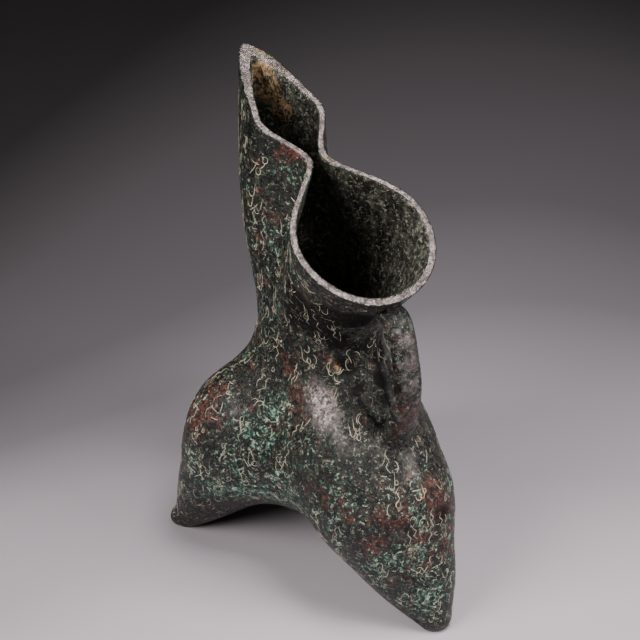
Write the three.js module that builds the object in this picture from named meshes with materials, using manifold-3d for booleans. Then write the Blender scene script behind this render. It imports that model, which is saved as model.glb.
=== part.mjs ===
// A cast bronze pouring vessel on three hollow pouch legs, in millimetres, +Z up.
// The long pinched spout points along -X, the loop handle stands over the rear leg on +X,
// and the vessel is the same on both sides of the plane Y = 0, but for the rear leg,
// which stands a little to one side as on the hand-finished casting.
// The origin lies on the floor under the middle of the body.
import * as THREE from 'three';
import { mergeVertices } from 'three/addons/utils/BufferGeometryUtils.js';
import Module from 'manifold-3d';

// Overall sizes
const VESSEL_HEIGHT = 270;
const WALL = 3.8;

// Mouth, seen from above: a leaf-shaped spout pinched off from a round bowl
const MOUTH_LENGTH = 146;
const MOUTH_REAR_HEIGHT = 192;
const MOUTH_REAR_REACH = 54;
const RIM_BULGE = 3;
const SPOUT_HALF_WIDTH = 20;
const PINCH_HALF_WIDTH = 6.5;
const BOWL_HALF_WIDTH = 38;

// Waist of the neck, an upright oval
const WAIST_HEIGHT = 137;
const WAIST_SET_FORWARD = 19;
const WAIST_HALF_LENGTH = 43;
const WAIST_HALF_WIDTH = 29;
const SPOUT_SWELL = 7;

// Pouch legs
const FOOT_REACH = 85;
const FRONT_LEG_TURN = 127.9;
const FRONT_BELLY_RADIUS = 37;
const FRONT_BELLY_SWING = 4.6;
const REAR_LEG_STRETCH = 1.037;
const REAR_LEG_TURN = 3.3;
const REAR_BELLY_RADIUS = 33.2;
const REAR_BELLY_SWING = 5.8;
const LEG_BULGE = 2.6;
const FOOT_RADIUS = 8.5;
const CORE_RADIUS = 42.5;

// Loop handle
const HANDLE_WIDTH = 16;
const HANDLE_THICKNESS = 10.5;
const HANDLE_BOW = 11;
const HANDLE_DROP = 12;

const shellColumns = 60;

const bronze = new THREE.MeshStandardMaterial({ color: 0x2b3530, roughness: 0.45, metalness: 0.75 });

const degrees = Math.PI / 180;
const mouthTipReach = MOUTH_LENGTH - MOUTH_REAR_REACH;
const bodyMiddle = 0.27 * VESSEL_HEIGHT;

function mix(a, b, share) {
  return a + (b - a) * share;
}

function smoothMin(a, b, reach) {
  const h = Math.max(reach - Math.abs(a - b), 0) / reach;
  return Math.min(a, b) - h * h * reach * 0.25;
}

// Height of the rim at a place along the vessel: a slope with a slight bulge
function rimHeight(x) {
  const share = (x + mouthTipReach) / MOUTH_LENGTH;
  const bulge = 4 * share * (1 - share) * RIM_BULGE;
  return mix(VESSEL_HEIGHT, MOUTH_REAR_HEIGHT, share) + bulge;
}

// Stations of the mouth along the vessel, from its pointed end to its rear
const spoutX = -mouthTipReach + 0.3 * MOUTH_LENGTH;
const pinchX = -mouthTipReach + 0.487 * MOUTH_LENGTH;
const bowlX = -mouthTipReach + 0.768 * MOUTH_LENGTH;

// One side of the mouth from its rear end (0) to its tip (1), inset by a share of the wall
function mouthPoint(share, inset) {
  const tip = -mouthTipReach + inset * 2.5;
  const rear = MOUTH_REAR_REACH - inset;
  const spout = SPOUT_HALF_WIDTH - inset;
  const pinch = PINCH_HALF_WIDTH - inset;
  const bowl = BOWL_HALF_WIDTH - inset;
  if (share < 0.29) {
    const angle = share / 0.29 * Math.PI / 2;
    return { x: mix(bowlX, rear, Math.cos(angle)), y: bowl * Math.sin(angle) };
  }
  if (share < 0.56) {
    const step = 1 - (share - 0.29) / 0.27;
    const ease = (1 - Math.cos(Math.pow(step, 0.72) * Math.PI)) / 2;
    return { x: mix(pinchX, bowlX, step), y: mix(pinch, bowl, ease) };
  }
  if (share < 0.73) {
    const step = (share - 0.56) / 0.17;
    const ease = (1 - Math.cos(step * Math.PI)) / 2;
    return { x: mix(pinchX, spoutX, step), y: mix(pinch, spout, ease) };
  }
  const step = 1 - (share - 0.73) / 0.27;
  const leaf = 0.65 * step + 0.35 * Math.sin(step * Math.PI / 2);
  const blunt = Math.sqrt(step) * (1 - step) * (1 - step) * (0.6 * SPOUT_HALF_WIDTH - 2 * inset);
  return { x: mix(tip, spoutX, step), y: spout * leaf + Math.max(blunt, 0) };
}

// Distance to a tapering bag between two balls, each given as reach, height and radius
function bagDistance(reach, across, height, a, b, bulge) {
  const length = Math.hypot(b[0] - a[0], b[1] - a[1]);
  const alongReach = (b[0] - a[0]) / length;
  const alongHeight = (b[1] - a[1]) / length;
  const dr = reach - a[0];
  const dz = height - a[1];
  const along = dr * alongReach + dz * alongHeight;
  const side = Math.sqrt(Math.max(dr * dr + dz * dz - along * along, 0) + across * across);
  const taper = (a[2] - b[2]) / length;
  const lean = Math.sqrt(Math.max(1 - taper * taper, 0.01));
  const share = THREE.MathUtils.clamp((along - side * taper / lean) / length, 0, 1);
  const radius = mix(a[2], b[2], share) + 4 * bulge * share * (1 - share);
  return Math.hypot(along - share * length, side) - radius;
}

// Each leg swings out from the middle through a shoulder ball, a belly ball and a foot ball.
// The belly swings to one side of the straight line to the foot, and a toe may end the foot.
function legDistance(x, y, z, leg) {
  const turn = leg.turn * degrees;
  const reach = (x * Math.cos(turn) + y * Math.sin(turn)) / leg.stretch;
  const share = THREE.MathUtils.clamp(reach / FOOT_REACH, 0, 1);
  const swing = leg.swing * 4 * share * (1 - share);
  const across = (y * Math.cos(turn) - x * Math.sin(turn) - swing) * leg.slimness;
  const shoulder = [0.3 * FOOT_REACH, leg.shoulder.height * VESSEL_HEIGHT, leg.shoulder.girth * leg.girth];
  const belly = [leg.belly.reach * FOOT_REACH, leg.belly.height * VESSEL_HEIGHT, leg.girth];
  const foot = [FOOT_REACH, 0.66 * FOOT_RADIUS, FOOT_RADIUS];
  const upper = bagDistance(reach, across, z, shoulder, belly, 0);
  const lower = bagDistance(reach, across, z, belly, foot, LEG_BULGE);
  const bag = smoothMin(upper, lower, 14);
  const toeReach = FOOT_REACH + leg.toe * FOOT_RADIUS;
  const toe = Math.hypot(reach - toeReach, across, z - 0.4 * FOOT_RADIUS) - 0.55 * FOOT_RADIUS;
  return smoothMin(bag, toe, 7);
}

// The two front legs mirror each other, so side is 1 for the left one and -1 for the right one.
// Heights and reaches inside a leg are shares of the vessel's height and of the foot's reach.
function frontLeg(side) {
  return {
    turn: side * FRONT_LEG_TURN,
    stretch: 1,
    girth: FRONT_BELLY_RADIUS,
    swing: side * FRONT_BELLY_SWING,
    slimness: 1.104,
    toe: 0.85,
    shoulder: { height: 0.279, girth: 0.933 },
    belly: { reach: 0.526, height: 0.254 },
  };
}

const leftLeg = frontLeg(1);
const rightLeg = frontLeg(-1);
const rearLeg = {
  turn: REAR_LEG_TURN,
  stretch: REAR_LEG_STRETCH,
  girth: REAR_BELLY_RADIUS,
  swing: -REAR_BELLY_SWING,
  slimness: 0.936,
  toe: 0,
  shoulder: { height: 0.302, girth: 1.168 },
  belly: { reach: 0.504, height: 0.239 },
};

function waistDistance(x, y) {
  const px = (x + WAIST_SET_FORWARD) / WAIST_HALF_LENGTH;
  const py = y / WAIST_HALF_WIDTH;
  const size = Math.hypot(px, py);
  const slope = Math.hypot(px / WAIST_HALF_LENGTH, py / WAIST_HALF_WIDTH);
  return slope > 1e-9 ? (size - 1) * size / slope : -WAIST_HALF_WIDTH;
}

// Distance to the body and the lower neck: three soft bags, a core and an upright oval
function bodyDistance(x, y, z) {
  const rear = legDistance(x, y, z, rearLeg);
  const left = legDistance(x, y, z, leftLeg);
  const right = legDistance(x, y, z, rightLeg);
  const soft = 8.5;
  const least = Math.min(rear, left, right);
  const sum = Math.exp((least - rear) / soft) + Math.exp((least - left) / soft)
    + Math.exp((least - right) / soft);
  const legs = least - soft * Math.log(sum);
  const core = Math.hypot(x + 6, y, z - 0.9 * bodyMiddle) - CORE_RADIUS;
  const neck = Math.max(waistDistance(x, y), bodyMiddle - z);
  return smoothMin(smoothMin(legs, core, 18), neck, 28);
}

// Steps out along a ray to the skin, or to the hollow's skin when an inset is given.
// The hollow stays above the soles of the feet by the same inset.
function surfaceAlong(origin, direction, inset) {
  let near = 0;
  let far = 2 * FOOT_REACH;
  for (let step = 0; step < 40; step += 1) {
    const middle = (near + far) / 2;
    const x = origin.x + direction.x * middle;
    const y = origin.y + direction.y * middle;
    const z = origin.z + direction.z * middle;
    const aboveSole = inset > 0 ? inset - z : -1;
    if (Math.max(bodyDistance(x, y, z) + inset, aboveSole) < 0) {
      near = middle;
    } else {
      far = middle;
    }
  }
  return origin.clone().addScaledVector(direction, near);
}

// Turn about the upright axis for a column, closer together over the three legs
function bodyTurn(column) {
  const spread = (FRONT_LEG_TURN - 120) * degrees / Math.sin(120 * degrees);
  return column - 0.19 * Math.sin(3 * column) + spread * Math.sin(column);
}

// A point of the oval waist at a height near the foot of the neck
function ovalTurn(column) {
  const oval = Math.atan2(WAIST_HALF_WIDTH * Math.sin(column), WAIST_HALF_LENGTH * Math.cos(column));
  return oval + (column > Math.PI ? 2 * Math.PI : 0);
}

function waistPoint(column, height, inset) {
  const turn = ovalTurn(column);
  const origin = new THREE.Vector3(-WAIST_SET_FORWARD, 0, height);
  return surfaceAlong(origin, new THREE.Vector3(Math.cos(turn), Math.sin(turn), 0), inset);
}

// Share of the way down for a row, with the rows closer together over the feet
function footwardFall(share) {
  const atFeet = 0.555;
  const wave = Math.sin(2 * Math.PI * (share - atFeet)) + Math.sin(2 * Math.PI * atFeet);
  return share - 0.07 * wave;
}

// A ring of the body: 0 at the waist, 1 at the middle of the underside.
// The rays start at the waist's middle, whose height sinks to the body's middle, and near
// the waist they aim at the oval neck, a little lower with every row.
function bodyPoint(column, share, inset) {
  const step = Math.min(share / 0.3, 1);
  const sink = step * (2 - step);
  const origin = new THREE.Vector3(-WAIST_SET_FORWARD * (1 - sink), 0, mix(WAIST_HEIGHT, bodyMiddle, sink));
  const neckX = -WAIST_SET_FORWARD + WAIST_HALF_LENGTH * Math.cos(column);
  const neckReach = Math.hypot(neckX - origin.x, WAIST_HALF_WIDTH * Math.sin(column));
  const neckAim = Math.atan2(WAIST_HEIGHT - 26 * step - origin.z, neckReach);
  const fall = footwardFall(share > 0.16 ? (share - 0.16) / 0.84 : 0);
  const drop = -90 * degrees * (0.9 * fall + 0.1 * fall * fall * fall);
  const bodyAim = drop + 20 * degrees * sink * (1 - fall);
  const elevation = mix(neckAim, bodyAim, THREE.MathUtils.smoothstep(step, 0, 1));
  const turn = mix(ovalTurn(column), bodyTurn(column), THREE.MathUtils.smoothstep(share, 0, 0.25));
  const flat = Math.cos(elevation);
  const direction = new THREE.Vector3(Math.cos(turn) * flat, Math.sin(turn) * flat, Math.sin(elevation));
  return surfaceAlong(origin, direction, inset);
}

// How far the neck has opened from the waist to the rim, behind and in front
function rearFlare(share) {
  return share * share * (1.5 - 0.5 * share);
}

function frontFlare(share) {
  return THREE.MathUtils.smoothstep(Math.pow(share, 0.75), 0, 1);
}

// A point of the neck: 0 at the waist, 1 at the rim, more than 1 above the rim
function neckPoint(column, share, inset) {
  const waist = waistPoint(column, WAIST_HEIGHT, inset);
  const lower = waistPoint(column, WAIST_HEIGHT - 2, inset);
  const half = column <= Math.PI ? column : 2 * Math.PI - column;
  const rim = mouthPoint(half / Math.PI, inset);
  const sign = column <= Math.PI ? 1 : -1;
  const reach = Math.min(share, 1);
  const frontness = (1 - Math.cos(half)) / 2;
  const flare = mix(rearFlare(reach), frontFlare(reach), frontness);
  const swell = SPOUT_SWELL * frontness * Math.pow(Math.sin(Math.PI * reach), 2);
  const carry = (rimHeight(rim.x) - WAIST_HEIGHT) / 2 * reach * (1 - reach) * (1 - reach);
  const x = mix(waist.x, rim.x, flare) + swell * Math.cos(column) + carry * (waist.x - lower.x);
  const y = mix(waist.y, rim.y * sign, flare) + swell * Math.sin(column) + carry * (waist.y - lower.y);
  const z = mix(WAIST_HEIGHT, rimHeight(rim.x), share);
  return new THREE.Vector3(x, y, z);
}

// A point of a skin: stations run 1 to 0 up the body, 0 to -1 up the neck
function skinPoint(column, station, inset) {
  if (station >= 1) {
    const pole = bodyPoint(0, 1, inset);
    return new THREE.Vector3(0, 0, pole.z);
  }
  return station > 0 ? bodyPoint(column, station, inset) : neckPoint(column, -station, inset);
}

// A closed skin: a sphere whose rows of vertices are moved to the given stations
function skinGeometry(columns, stations) {
  const rows = stations.length - 1;
  const geometry = new THREE.SphereGeometry(1, columns, rows);
  const position = geometry.attributes.position;
  for (let row = 0; row <= rows; row += 1) {
    for (let c = 0; c <= columns; c += 1) {
      const column = 2 * Math.PI * (c % columns) / columns;
      const point = skinPoint(column, stations[row].at, stations[row].inset);
      position.setXYZ(row * (columns + 1) + c, point.x, point.y, point.z);
    }
  }
  return geometry;
}

// Stations from the underside up to the rim, or back again when turned round
function stationsUp(bodyRows, neckRows, inset, topShare) {
  const stations = [];
  for (let row = 0; row < bodyRows; row += 1) {
    stations.push({ at: 1 - row / bodyRows, inset });
  }
  for (let row = 0; row <= neckRows; row += 1) {
    stations.push({ at: -topShare * row / neckRows, inset });
  }
  return stations;
}

// The vessel as one skin: up the inside, over the lip, and down the outside
function shellGeometry() {
  const inside = stationsUp(18, 10, WALL, 1);
  const outside = stationsUp(34, 16, 0, 1).reverse();
  return skinGeometry(shellColumns, inside.concat(outside));
}

// Middle of the wall as a closed shape, where the handle's ends stop
function wallCoreGeometry() {
  const stations = stationsUp(12, 8, WALL / 2, 1.1);
  const cap = skinGeometry(40, stations.reverse());
  const position = cap.attributes.position;
  const middle = new THREE.Vector3(pinchX, 0, rimHeight(pinchX) + 0.1 * VESSEL_HEIGHT);
  for (let c = 0; c <= 40; c += 1) {
    position.setXYZ(c, middle.x, middle.y, middle.z);
  }
  return cap;
}

// Reach of the outer wall behind the neck at a height between the waist and the rim
function rearWallReach(height) {
  const share = (height - WAIST_HEIGHT) / (MOUTH_REAR_HEIGHT - WAIST_HEIGHT);
  return mix(WAIST_HALF_LENGTH - WAIST_SET_FORWARD, MOUTH_REAR_REACH, rearFlare(share));
}

// Middle line of the handle in the plane of symmetry, from the rim to the rear leg
const handleTop = MOUTH_REAR_HEIGHT - HANDLE_DROP;
const handleRootReach = 0.6 * FOOT_REACH;
const handleFoot = 0.395 * VESSEL_HEIGHT;
const handlePath = new THREE.CatmullRomCurve3([
  new THREE.Vector3(rearWallReach(handleTop) - WALL - 3, 0, handleTop - 2),
  new THREE.Vector3(rearWallReach(handleTop) + 8, 0, handleTop - 2),
  new THREE.Vector3(handleRootReach + HANDLE_BOW, 0, mix(handleFoot, handleTop, 0.6)),
  new THREE.Vector3(handleRootReach + 0.75 * HANDLE_BOW, 0, mix(handleFoot, handleTop, 0.25)),
  new THREE.Vector3(handleRootReach, 0, handleFoot - 8),
]);

// The handle: a rod of oval section whose ends flare into the wall
function handleSolid() {
  const around = 20;
  const along = 16;
  const geometry = new THREE.CylinderGeometry(1, 1, 1, around, along);
  const position = geometry.attributes.position;
  for (let index = 0; index < position.count; index += 1) {
    const share = 0.5 - position.getY(index);
    const centre = handlePath.getPointAt(share);
    const tangent = handlePath.getTangentAt(share);
    const outward = new THREE.Vector3(-tangent.z, 0, tangent.x);
    const topFlare = 1 + 0.1 * Math.pow(1 - share, 6);
    const footFlare = 1 + 0.55 * Math.pow(share, 5);
    const flare = topFlare * footFlare;
    const wide = position.getX(index) * HANDLE_WIDTH / 2 * flare;
    const thick = position.getZ(index) * HANDLE_THICKNESS / 2 * flare;
    const point = centre.clone().addScaledVector(outward, thick);
    position.setXYZ(index, point.x, point.y + wide, point.z);
  }
  return geometry;
}

const wasm = await Module();
wasm.setup();

function toSolid(geometry) {
  const bare = geometry.clone();
  bare.deleteAttribute('normal');
  bare.deleteAttribute('uv');
  const merged = mergeVertices(bare, 1e-4);
  const vertProperties = new Float32Array(merged.attributes.position.array);
  const triVerts = new Uint32Array(merged.index.array);
  return new wasm.Manifold(new wasm.Mesh({ numProp: 3, vertProperties, triVerts }));
}

function toGeometry(solid) {
  const mesh = solid.getMesh();
  const geometry = new THREE.BufferGeometry();
  geometry.setAttribute('position', new THREE.BufferAttribute(mesh.vertProperties, 3));
  geometry.setIndex(new THREE.BufferAttribute(mesh.triVerts, 1));
  return geometry;
}

// Pulls together the ends of very short edges, and drops the triangles that close up
function weldShortEdges(geometry, shortest) {
  const position = geometry.attributes.position;
  const target = Array.from({ length: position.count }, (unused, vertex) => vertex);
  const a = new THREE.Vector3();
  const b = new THREE.Vector3();
  const corners = geometry.index.array;
  for (let corner = 0; corner < corners.length; corner += 1) {
    const next = corner % 3 === 2 ? corner - 2 : corner + 1;
    const start = target[corners[corner]];
    const end = target[corners[next]];
    a.fromBufferAttribute(position, start);
    b.fromBufferAttribute(position, end);
    if (start !== end && a.distanceTo(b) < shortest) {
      target.forEach((vertex, at) => {
        target[at] = vertex === end ? start : vertex;
      });
    }
  }
  const kept = [];
  for (let corner = 0; corner < corners.length; corner += 3) {
    const triangle = [target[corners[corner]], target[corners[corner + 1]], target[corners[corner + 2]]];
    if (new Set(triangle).size === 3) {
      kept.push(...triangle);
    }
  }
  const welded = new THREE.BufferGeometry();
  welded.setAttribute('position', position.clone());
  welded.setIndex(kept);
  return mergeVertices(welded.toNonIndexed(), 1e-4);
}

function floorBlock() {
  const depth = 4 * FOOT_RADIUS;
  const block = new THREE.BoxGeometry(6 * FOOT_REACH, 6 * FOOT_REACH, depth);
  block.translate(0, 0, -depth / 2);
  return toSolid(block);
}

// The finished casting, moved so that the origin lies under the middle of its outline
function vesselGeometry() {
  const handle = toSolid(handleSolid()).subtract(toSolid(wallCoreGeometry()));
  const solid = toSolid(shellGeometry()).add(handle).subtract(floorBlock());
  const geometry = weldShortEdges(toGeometry(solid), WALL / 16);
  geometry.computeVertexNormals();
  geometry.computeBoundingBox();
  const middle = geometry.boundingBox.getCenter(new THREE.Vector3());
  geometry.translate(-middle.x, -middle.y, 0);
  return geometry;
}

const vessel = new THREE.Mesh(vesselGeometry(), bronze);
vessel.name = 'vessel';

const group = new THREE.Group();
group.add(vessel);

export default group;
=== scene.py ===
# The cast bronze pouring vessel with its fine surface, incised marks and patina.
# Shapes are worked out in millimetres in the shared frame, and meshes are made in metres.
import math
import random

import bpy
import numpy as np
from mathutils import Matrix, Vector, noise
from mathutils.bvhtree import BVHTree


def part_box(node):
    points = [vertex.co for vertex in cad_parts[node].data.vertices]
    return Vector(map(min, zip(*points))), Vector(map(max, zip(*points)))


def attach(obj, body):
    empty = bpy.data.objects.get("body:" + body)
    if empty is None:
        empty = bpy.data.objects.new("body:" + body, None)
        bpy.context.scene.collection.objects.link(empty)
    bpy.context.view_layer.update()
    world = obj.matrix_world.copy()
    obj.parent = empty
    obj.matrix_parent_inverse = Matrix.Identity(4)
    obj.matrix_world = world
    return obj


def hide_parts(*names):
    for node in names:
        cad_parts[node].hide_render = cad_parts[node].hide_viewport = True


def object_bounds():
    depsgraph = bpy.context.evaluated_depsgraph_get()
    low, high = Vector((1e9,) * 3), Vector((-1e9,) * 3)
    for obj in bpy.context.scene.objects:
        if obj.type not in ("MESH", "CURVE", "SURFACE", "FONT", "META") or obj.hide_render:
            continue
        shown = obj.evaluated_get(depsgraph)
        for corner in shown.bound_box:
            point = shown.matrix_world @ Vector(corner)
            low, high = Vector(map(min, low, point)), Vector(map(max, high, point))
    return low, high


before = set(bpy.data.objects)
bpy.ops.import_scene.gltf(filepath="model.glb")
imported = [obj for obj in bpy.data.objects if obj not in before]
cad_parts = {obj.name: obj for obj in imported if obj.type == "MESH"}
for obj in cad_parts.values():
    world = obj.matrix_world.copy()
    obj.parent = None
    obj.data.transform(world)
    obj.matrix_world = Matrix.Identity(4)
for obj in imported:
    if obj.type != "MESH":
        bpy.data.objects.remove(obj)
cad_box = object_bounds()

# Overall sizes, as in the construction
VESSEL_HEIGHT = 270.0
WALL = 3.8

# Mouth, seen from above: a leaf-shaped spout pinched off from a round bowl.
# The shares run along one side of its outline, from the rear end to the tip.
MOUTH_LENGTH = 146.0
MOUTH_REAR_HEIGHT = 192.0
MOUTH_REAR_REACH = 54.0
RIM_BULGE = 3.0
SPOUT_HALF_WIDTH = 20.0
PINCH_HALF_WIDTH = 6.5
BOWL_HALF_WIDTH = 38.0
BOWL_SHARE = 0.29
THROAT_SHARE = 0.27
SWELL_SHARE = 0.17
LEAF_SHARE = 0.27

# Waist of the neck, an upright oval
WAIST_HEIGHT = 137.0
WAIST_SET_FORWARD = 19.0
WAIST_HALF_LENGTH = 43.0
WAIST_HALF_WIDTH = 29.0
SPOUT_SWELL = 7.0
WAIST_SLOPE_STEP = 2.0

# Pouch legs
FOOT_REACH = 85.0
FRONT_LEG_TURN = 127.9
FRONT_BELLY_RADIUS = 37.0
FRONT_BELLY_SWING = 4.6
REAR_LEG_STRETCH = 1.037
REAR_LEG_TURN = 3.3
REAR_BELLY_RADIUS = 33.2
REAR_BELLY_SWING = 5.8
LEG_BULGE = 2.6
FOOT_RADIUS = 8.5
CORE_RADIUS = 42.5
CORE_SET_FORWARD = 6.0
SHOULDER_REACH = 0.3 * FOOT_REACH
FOOT_HEIGHT = 0.66 * FOOT_RADIUS
TOE_HEIGHT = 0.4 * FOOT_RADIUS
TOE_RADIUS = 0.55 * FOOT_RADIUS

# How softly the forms of the body run together
SHOULDER_BLEND = 14
TOE_BLEND = 7
LEGS_BLEND = 8.5
CORE_BLEND = 18
NECK_BLEND = 28

# Loop handle
HANDLE_WIDTH = 16.0
HANDLE_THICKNESS = 10.5
HANDLE_BOW = 11.0
HANDLE_DROP = 12.0
HANDLE_FOOT_REACH = 0.6 * FOOT_REACH
HANDLE_FOOT_HEIGHT = 0.395 * VESSEL_HEIGHT
HANDLE_SLIMNESS = 0.90
HANDLE_UPPER_FLARE = 0.06
HANDLE_LOWER_FLARE = 0.22
UPPER_ROOT_LENGTH = 5
LOWER_ROOT_LENGTH = 10
UPPER_ROOT_SPREAD = 1.12
UPPER_ROOT_TOP_SPREAD = 1.1
LOWER_ROOT_SPREAD = 1.75
ROOT_SEAT = 0.1
ROOT_SINK = 1.4

# Fineness of the surface
SHELL_COLUMNS = 264
OUTER_BODY_ROWS = 140
OUTER_NECK_ROWS = 84
INNER_BODY_ROWS = 46
INNER_NECK_ROWS = 44
LIP_ROWS = 8
LIP_ROUNDING = 1.0
RIM_EDGE_SHARE = 0.9965
HANDLE_AROUND = 64
HANDLE_ALONG = 96
HANDLE_PATH_POINTS = 240
UPPER_ROOT_ROWS = 14
LOWER_ROOT_ROWS = 18
SPLINE_STEPS = 60
SEARCH_STEPS = 34

MM = 0.001
OUTER_ROWS = OUTER_BODY_ROWS + OUTER_NECK_ROWS
OUTER_COUNT = OUTER_ROWS * SHELL_COLUMNS
TIP_REACH = MOUTH_LENGTH - MOUTH_REAR_REACH
BODY_MIDDLE = 0.27 * VESSEL_HEIGHT
CORE_HEIGHT = 0.9 * BODY_MIDDLE

# The rings of the body are aimed from a point that sinks over a first share of the way
SINK_SHARE = 0.3
NECK_AIM_DROP = 26
FALL_START = 0.16
TURN_SHARE = 0.25

# Middles of the spout and the bowl, and of the pinch between them
SPOUT_X = -TIP_REACH + 0.3 * MOUTH_LENGTH
PINCH_X = -TIP_REACH + 0.487 * MOUTH_LENGTH
BOWL_X = -TIP_REACH + 0.768 * MOUTH_LENGTH

# The construction stands centred on its outline, so its tip gives the shift along X
SHIFT_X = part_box("vessel")[0][0] / MM + TIP_REACH

random.seed(7)


def mix(a, b, share):
    return a + (b - a) * share


def smoothstep(value, low, high):
    t = np.clip((value - low) / (high - low), 0, 1)
    return t * t * (3 - 2 * t)


def smooth_min(a, b, reach):
    h = np.maximum(reach - np.abs(a - b), 0) / reach
    return np.minimum(a, b) - h * h * reach * 0.25


def rim_height(x):
    """Height of the rim at a place along the vessel: a slope with a slight bulge."""
    share = (x + TIP_REACH) / MOUTH_LENGTH
    return mix(VESSEL_HEIGHT, MOUTH_REAR_HEIGHT, share) + 4 * share * (1 - share) * RIM_BULGE


def mouth_point(share, inset):
    """One side of the mouth from its rear end (0) to its tip (1)."""
    tip = -TIP_REACH + inset * 2.5
    rear = MOUTH_REAR_REACH - inset
    spout = SPOUT_HALF_WIDTH - inset
    pinch = PINCH_HALF_WIDTH - inset
    bowl = BOWL_HALF_WIDTH - inset
    if share < BOWL_SHARE:
        angle = share / BOWL_SHARE * math.pi / 2
        return mix(BOWL_X, rear, math.cos(angle)), bowl * math.sin(angle)
    if share < BOWL_SHARE + THROAT_SHARE:
        step = 1 - (share - BOWL_SHARE) / THROAT_SHARE
        ease = (1 - math.cos(step ** 0.72 * math.pi)) / 2
        return mix(PINCH_X, BOWL_X, step), mix(pinch, bowl, ease)
    if share < 1 - LEAF_SHARE:
        step = (share - BOWL_SHARE - THROAT_SHARE) / SWELL_SHARE
        ease = (1 - math.cos(step * math.pi)) / 2
        return mix(PINCH_X, SPOUT_X, step), mix(pinch, spout, ease)
    step = max((1 - share) / LEAF_SHARE, 0)
    leaf = 0.65 * step + 0.35 * math.sin(step * math.pi / 2)
    blunt = math.sqrt(step) * (1 - step) ** 2 * (0.6 * SPOUT_HALF_WIDTH - 2 * inset)
    return mix(tip, SPOUT_X, step), spout * leaf + max(blunt, 0)


def bag_distance(reach, across, height, a, b, bulge):
    """Distance to a tapering bag between two balls, each given as reach, height and radius."""
    length = math.hypot(b[0] - a[0], b[1] - a[1])
    along_reach = (b[0] - a[0]) / length
    along_height = (b[1] - a[1]) / length
    dr = reach - a[0]
    dz = height - a[1]
    along = dr * along_reach + dz * along_height
    side = np.sqrt(np.maximum(dr * dr + dz * dz - along * along, 0) + across * across)
    taper = (a[2] - b[2]) / length
    lean = math.sqrt(max(1 - taper * taper, 0.01))
    share = np.clip((along - side * taper / lean) / length, 0, 1)
    radius = mix(a[2], b[2], share) + 4 * bulge * share * (1 - share)
    return np.hypot(along - share * length, side) - radius


def front_leg(side):
    """The two front legs mirror each other: side is 1 or -1."""
    return dict(turn=side * FRONT_LEG_TURN, stretch=1.0, girth=FRONT_BELLY_RADIUS,
                swing=side * FRONT_BELLY_SWING, slimness=1.104, toe=0.85,
                shoulder=(0.279, 0.933), belly=(0.526, 0.254))


REAR_LEG = dict(turn=REAR_LEG_TURN, stretch=REAR_LEG_STRETCH, girth=REAR_BELLY_RADIUS,
                swing=-REAR_BELLY_SWING, slimness=0.936, toe=0.0,
                shoulder=(0.302, 1.168), belly=(0.504, 0.239))
LEGS = (REAR_LEG, front_leg(1), front_leg(-1))


def leg_distance(x, y, z, leg):
    """Distance to a pouch leg: shoulder, belly and foot in one soft bag, and a toe."""
    turn = math.radians(leg["turn"])
    reach = (x * math.cos(turn) + y * math.sin(turn)) / leg["stretch"]
    share = np.clip(reach / FOOT_REACH, 0, 1)
    swing = leg["swing"] * 4 * share * (1 - share)
    across = (y * math.cos(turn) - x * math.sin(turn) - swing) * leg["slimness"]
    shoulder_height, shoulder_girth = leg["shoulder"]
    belly_reach, belly_height = leg["belly"]
    shoulder = (SHOULDER_REACH, shoulder_height * VESSEL_HEIGHT, shoulder_girth * leg["girth"])
    belly = (belly_reach * FOOT_REACH, belly_height * VESSEL_HEIGHT, leg["girth"])
    foot = (FOOT_REACH, FOOT_HEIGHT, FOOT_RADIUS)
    upper = bag_distance(reach, across, z, shoulder, belly, 0)
    lower = bag_distance(reach, across, z, belly, foot, LEG_BULGE)
    bag = smooth_min(upper, lower, SHOULDER_BLEND)
    toe_reach = FOOT_REACH + leg["toe"] * FOOT_RADIUS
    toe = np.sqrt((reach - toe_reach) ** 2 + across ** 2 + (z - TOE_HEIGHT) ** 2)
    return smooth_min(bag, toe - TOE_RADIUS, TOE_BLEND)


def waist_distance(x, y):
    """Distance to the upright oval of the waist, seen from above."""
    px = (x + WAIST_SET_FORWARD) / WAIST_HALF_LENGTH
    py = y / WAIST_HALF_WIDTH
    size = np.hypot(px, py)
    slope = np.hypot(px / WAIST_HALF_LENGTH, py / WAIST_HALF_WIDTH)
    return np.where(slope > 1e-9, (size - 1) * size / np.maximum(slope, 1e-9), -WAIST_HALF_WIDTH)


def body_distance(x, y, z):
    """Distance to the body and the lower neck: three soft bags, a core and an upright oval."""
    bags = [leg_distance(x, y, z, leg) for leg in LEGS]
    least = np.minimum(np.minimum(bags[0], bags[1]), bags[2])
    legs = least - LEGS_BLEND * np.log(sum(np.exp((least - bag) / LEGS_BLEND) for bag in bags))
    core = np.sqrt((x + CORE_SET_FORWARD) ** 2 + y * y + (z - CORE_HEIGHT) ** 2) - CORE_RADIUS
    neck = np.maximum(waist_distance(x, y), BODY_MIDDLE - z)
    return smooth_min(smooth_min(legs, core, CORE_BLEND), neck, NECK_BLEND)


def surface_along(origin, direction, inset):
    """Where rays from inside meet the skin, or the hollow's skin when an inset is given."""
    near = np.zeros(len(direction))
    far = np.full(len(direction), 2 * FOOT_REACH)
    for _ in range(SEARCH_STEPS):
        middle = (near + far) / 2
        p = origin + direction * middle[:, None]
        distance = body_distance(p[:, 0], p[:, 1], p[:, 2]) + inset
        floor = (inset if inset > 0 else 0) - p[:, 2]
        inside = np.maximum(distance, floor) < 0
        near = np.where(inside, middle, near)
        far = np.where(inside, far, middle)
    return origin + direction * near[:, None]


def oval_turn(column):
    """Direction from the middle of the waist to a column's place on its oval."""
    turn = np.arctan2(WAIST_HALF_WIDTH * np.sin(column), WAIST_HALF_LENGTH * np.cos(column))
    return turn + np.where(column > math.pi, 2 * math.pi, 0)


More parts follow.
